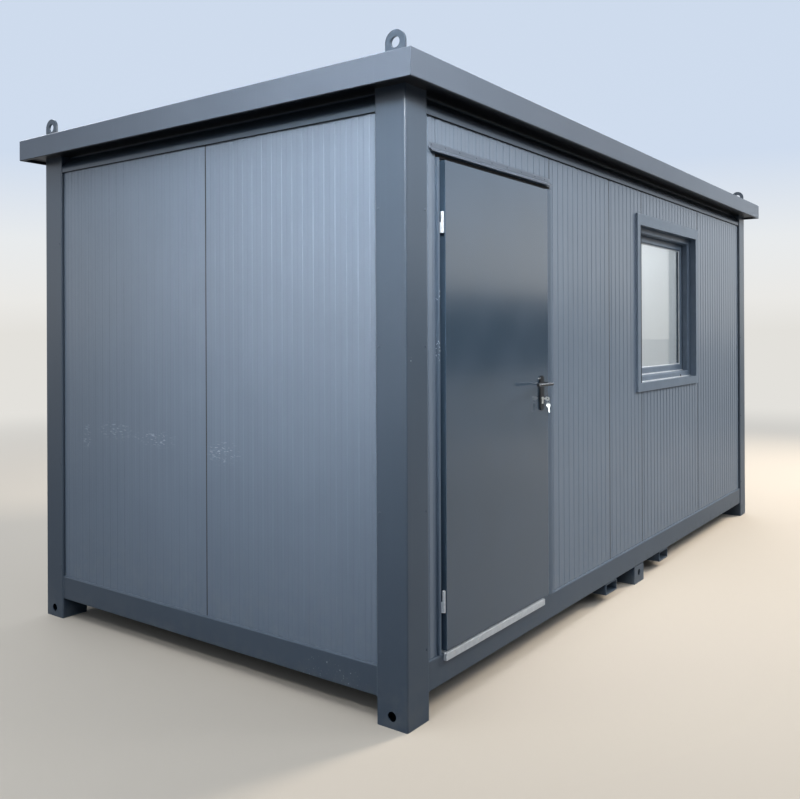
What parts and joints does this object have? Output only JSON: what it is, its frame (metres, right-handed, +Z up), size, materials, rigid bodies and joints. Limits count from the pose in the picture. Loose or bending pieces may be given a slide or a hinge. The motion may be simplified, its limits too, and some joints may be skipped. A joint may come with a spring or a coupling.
{
  "type": "portable site cabin",
  "caption": "Hollow steel-framed site cabin with ribbed sandwich panels, a hinged door with a lever handle, a deep window, overhanging roof edge, lifting eyes and feet.",
  "frame": {"origin": "on the ground under the middle of the cabin", "axes": "+X along the long front towards the window end, +Y from the front with the door to the rear, +Z up"},
  "size_m": [5.075, 2.625, 2.706],
  "materials": {
    "frame_paint": "satin anthracite enamel",
    "fascia_paint": "semi-gloss anthracite coil coating",
    "panel_paint": "semi-gloss anthracite coil coating, white inside",
    "ceiling_paint": "satin white coil coating",
    "door_paint": "semi-gloss anthracite",
    "window_paint": "satin anthracite",
    "glass": "clear",
    "galvanised_steel": "galvanised",
    "bright_aluminium": "mill finish",
    "floor_covering": "matt vinyl",
    "black_plastic": "satin black",
    "lock_nickel": "satin nickel"
  },
  "bodies": {
    "cabin": {"post_front_left": "frame_paint", "post_front_right": "frame_paint", "post_rear_left": "frame_paint", "post_rear_right": "frame_paint", "base_rail_front": "frame_paint", "base_rail_right": "frame_paint", "base_rail_rear": "frame_paint", "base_rail_left": "frame_paint", "roof_rail_front": "frame_paint", "roof_rail_right": "frame_paint", "roof_rail_rear": "frame_paint", "roof_rail_left": "frame_paint", "middle_feet": "frame_paint", "fork_pockets": "frame_paint", "lifting_eye_front_left": "frame_paint", "lifting_eye_front_right": "frame_paint", "lifting_eye_rear_left": "frame_paint", "lifting_eye_rear_right": "frame_paint", "fascia_front": "fascia_paint", "fascia_right": "fascia_paint", "fascia_rear": "fascia_paint", "fascia_left": "fascia_paint", "door_drip": "fascia_paint", "left_wall": "panel_paint", "right_wall": "panel_paint", "rear_wall": "panel_paint", "front_strip": "panel_paint", "panel_over_door": "panel_paint", "front_panel_1": "panel_paint", "front_panel_2": "panel_paint", "front_panel_3": "panel_paint", "front_panel_4": "panel_paint", "ceiling": "ceiling_paint", "hinge_jamb": "door_paint", "lock_jamb": "door_paint", "door_head_rail": "door_paint", "window_trim": "window_paint", "window_frame": "window_paint", "window_sash": "window_paint", "window_glass": "glass", "roof_deck": "galvanised_steel", "floor_joists": "galvanised_steel", "frame_hinges": "galvanised_steel", "threshold": "bright_aluminium", "floor_deck": "floor_covering"},
    "door": {"door_leaf": "door_paint", "leaf_hinges": "galvanised_steel", "handle_plates": "black_plastic", "lock_cylinder": "lock_nickel"},
    "lever": {"door_lever": "black_plastic"}
  },
  "joints": [
    {"name": "door_hinge", "type": "hinge", "parent": "cabin", "child": "door", "pos_m": [-2.187, -1.2175, 1.2], "axis": [0, 0, -1], "range_deg": [0, 110]},
    {"name": "lever_turn", "type": "hinge", "parent": "door", "child": "lever", "pos_m": [-1.3285, -1.2175, 1.283], "axis": [0, -1, 0], "range_deg": [0, 45], "stiffness_Nm_per_rad": 1.2, "springref_deg": -22.92}
  ]
}
